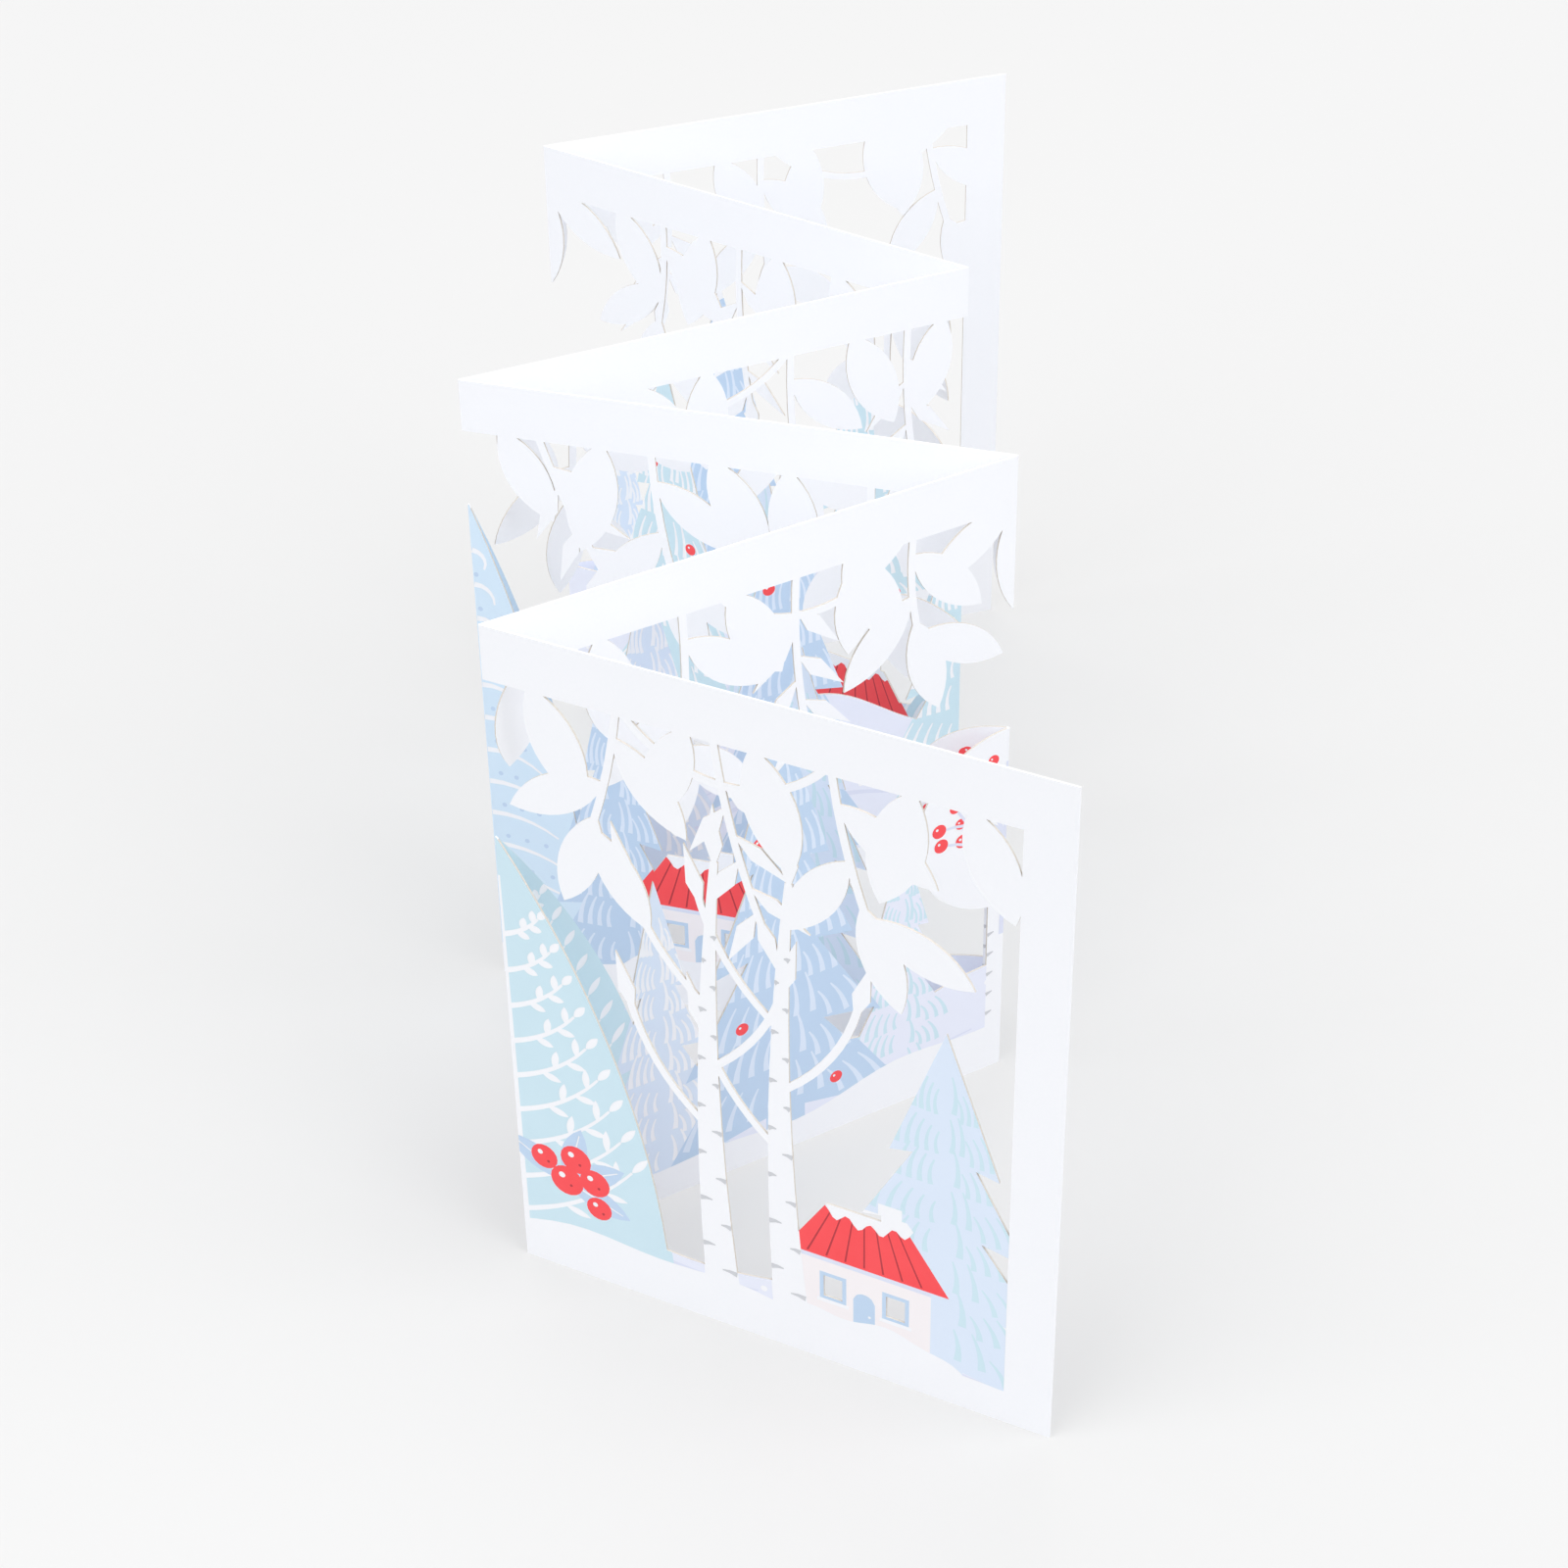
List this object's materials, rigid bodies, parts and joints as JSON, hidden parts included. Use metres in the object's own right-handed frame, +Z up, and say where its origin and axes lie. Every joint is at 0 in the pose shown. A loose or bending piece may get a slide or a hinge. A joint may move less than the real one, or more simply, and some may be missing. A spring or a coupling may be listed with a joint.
{
  "type": "concertina card",
  "caption": "Die-cut card folded like a concertina, standing in a zigzag; its panels show a winter wood with cottages under a leafy canopy.",
  "frame": {"origin": "bottom centre of the standing card's bounding box", "axes": "+Z up, +Y from the front panel to the back panel, +X to the right seen from the front"},
  "size_m": [0.1356, 0.3384, 0.17],
  "materials": {
    "card": "matt coated white card, printed in pale blue, lavender and red"
  },
  "bodies": {
    "root": {"card": "card"}
  },
  "joints": []
}
